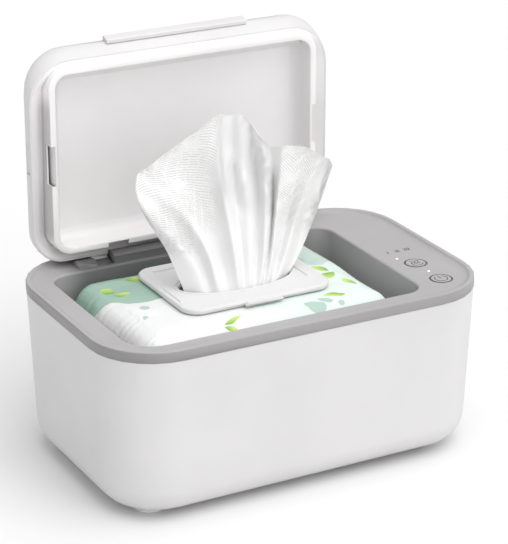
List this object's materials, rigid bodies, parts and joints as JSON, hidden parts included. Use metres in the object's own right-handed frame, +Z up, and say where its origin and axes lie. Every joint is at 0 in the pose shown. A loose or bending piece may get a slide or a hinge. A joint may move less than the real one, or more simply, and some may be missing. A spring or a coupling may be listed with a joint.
{
  "type": "baby wipe warmer",
  "caption": "Table-top wipe warmer: white tub with a grey heated inner tray, hinged lid that stands open, push buttons on a side deck, and a refill pack with a wipe pulled up.",
  "frame": {"origin": "middle of the box of the warmer with its lid open, on the surface that the feet stand on", "axes": "+Z up, +X along the long side towards the control deck, the front faces -Y and the lid's hinge is at the back"},
  "size_m": [0.266, 0.1818, 0.26],
  "materials": {
    "white_plastic": "satin white moulding",
    "white_liner": "smooth white moulding",
    "grey_plastic": "satin grey moulding",
    "dark_plastic": "plain dark moulding",
    "clear_rubber": "milky soft rubber",
    "light_window": "clear light pipe",
    "steel": "bright zinc",
    "aluminium": "rolled sheet",
    "heater_film": "amber film",
    "insulation": "pale felt",
    "board_green": "solder mask",
    "lead_black": "black sleeve",
    "pack_film": "printed soft film",
    "wipe_cloth": "embossed moist cloth"
  },
  "bodies": {
    "tub": {"tub_shell": "white_plastic", "base_plate": "white_plastic", "inner_tray": "grey_plastic", "foot_1": "clear_rubber", "foot_2": "clear_rubber", "foot_3": "clear_rubber", "foot_4": "clear_rubber", "base_screw_1": "steel", "base_screw_2": "steel", "base_screw_3": "steel", "base_screw_4": "steel", "heating_plate": "aluminium", "heater_pad": "heater_film", "insulation_pad": "insulation", "temperature_sensor": "dark_plastic", "thermal_fuse": "steel", "control_board": "board_green", "board_screw_1": "steel", "board_screw_2": "steel", "switch_heat": "dark_plastic", "switch_power": "dark_plastic", "led_power": "light_window", "led_level_1": "light_window", "led_level_2": "light_window", "led_level_3": "light_window", "light_window_power": "light_window", "light_window_level_1": "light_window", "light_window_level_2": "light_window", "light_window_level_3": "light_window", "power_inlet": "dark_plastic", "power_lead": "lead_black", "heater_lead": "lead_black", "hinge_pin_left": "steel", "hinge_pin_right": "steel", "refill_pack": "pack_film", "dispenser_plate": "white_liner", "wipe": "wipe_cloth"},
    "lid": {"lid_shell": "white_plastic", "lid_liner": "white_liner"},
    "button_heat": {"button_heat": "grey_plastic"},
    "button_power": {"button_power": "grey_plastic"}
  },
  "joints": [
    {"name": "lid_hinge", "type": "hinge", "parent": "tub", "child": "lid", "pos_m": [-0.00925, 0.06665, 0.1097], "axis": [1, 0, 0], "range_deg": [0, 90], "deforming": ["wipe"]},
    {"name": "heat_press", "type": "slide", "parent": "tub", "child": "button_heat", "axis": [0, 0, -1], "range_m": [0, 0.0005], "stiffness_N_per_m": 400},
    {"name": "power_press", "type": "slide", "parent": "tub", "child": "button_power", "axis": [0, 0, -1], "range_m": [0, 0.0005], "stiffness_N_per_m": 400}
  ]
}
